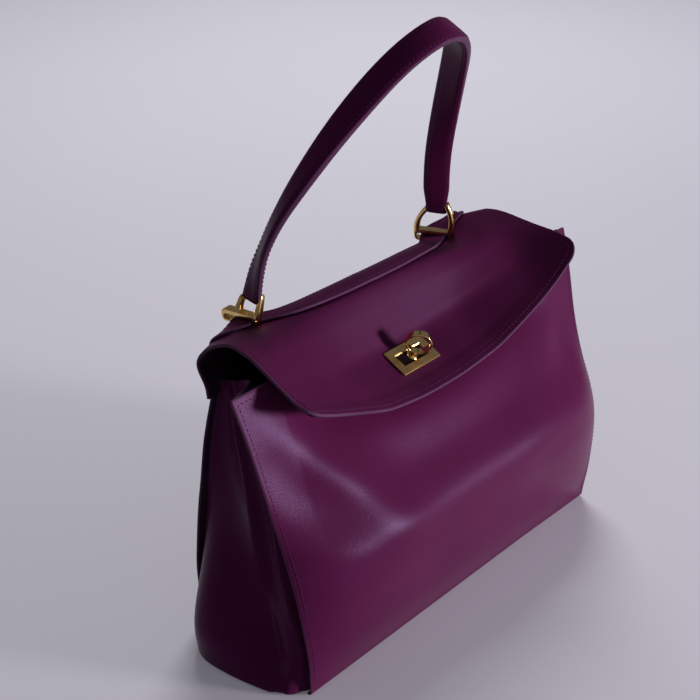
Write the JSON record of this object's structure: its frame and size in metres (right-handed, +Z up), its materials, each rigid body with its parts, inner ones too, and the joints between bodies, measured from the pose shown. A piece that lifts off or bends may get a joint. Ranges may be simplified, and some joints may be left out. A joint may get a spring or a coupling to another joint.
{
  "type": "tote bag",
  "caption": "Structured leather flap bag with one arched top handle in metal stirrups and a turn lock on its front flap.",
  "frame": {"origin": "on the surface that the bag stands on, under the middle of its base", "axes": "+X to the right seen from the front, +Y from the front to the back, +Z up"},
  "size_m": [0.3272, 0.1229, 0.3706],
  "materials": {
    "plum_leather": "smooth calf leather, soft sheen",
    "lining_leather": "matt leather",
    "lining_fabric": "matt woven cloth",
    "stiffener_board": "matt board",
    "handle_filler": "matt",
    "gold_metal": "polished and plated"
  },
  "bodies": {
    "bag_body": {"base_panel": "plum_leather", "base_stiffener": "stiffener_board", "front_panel": "plum_leather", "back_panel": "plum_leather", "left_gusset": "plum_leather", "right_gusset": "plum_leather", "lining": "lining_fabric", "top_panel": "plum_leather", "yoke_backing": "stiffener_board", "yoke": "plum_leather", "lock_receiver": "gold_metal", "receiver_backing": "stiffener_board"},
    "flap_body": {"flap": "plum_leather", "flap_lining": "lining_leather", "lock_plate": "gold_metal", "lock_back_plate": "gold_metal"},
    "turn_lock_body": {"lock_ring": "gold_metal", "lock_latch_bar": "gold_metal"},
    "handle_body": {"handle_strap": "plum_leather", "handle_underside": "lining_leather", "handle_core": "handle_filler"},
    "left_stirrup_body": {"left_stirrup": "gold_metal", "left_pin": "gold_metal", "left_pin_screw": "gold_metal"},
    "right_stirrup_body": {"right_stirrup": "gold_metal", "right_pin": "gold_metal", "right_pin_screw": "gold_metal"}
  },
  "joints": [
    {"name": "flap_open", "type": "hinge", "parent": "bag_body", "child": "flap_body", "pos_m": [0, 0.016, 0.1965], "axis": [-1, 0, 0], "range_deg": [0, 110]},
    {"name": "lock_turn", "type": "hinge", "parent": "flap_body", "child": "turn_lock_body", "pos_m": [0, -0.008, 0.156], "axis": [0, -0.4384, 0.8988], "range_deg": [0, 90]},
    {"name": "handle_swing", "type": "hinge", "parent": "bag_body", "child": "handle_body", "pos_m": [0, 0.04497, 0.20098], "axis": [1, 0, 0], "range_deg": [-20, 2]},
    {"name": "left_stirrup_sway", "type": "hinge", "parent": "handle_body", "child": "left_stirrup_body", "pos_m": [-0.0885, 0.04313, 0.21577], "axis": [0, 0.9924, 0.1232], "range_deg": [-4, 4]},
    {"name": "right_stirrup_sway", "type": "hinge", "parent": "handle_body", "child": "right_stirrup_body", "pos_m": [0.0885, 0.04313, 0.21577], "axis": [0, 0.9924, 0.1232], "range_deg": [-4, 4]}
  ]
}
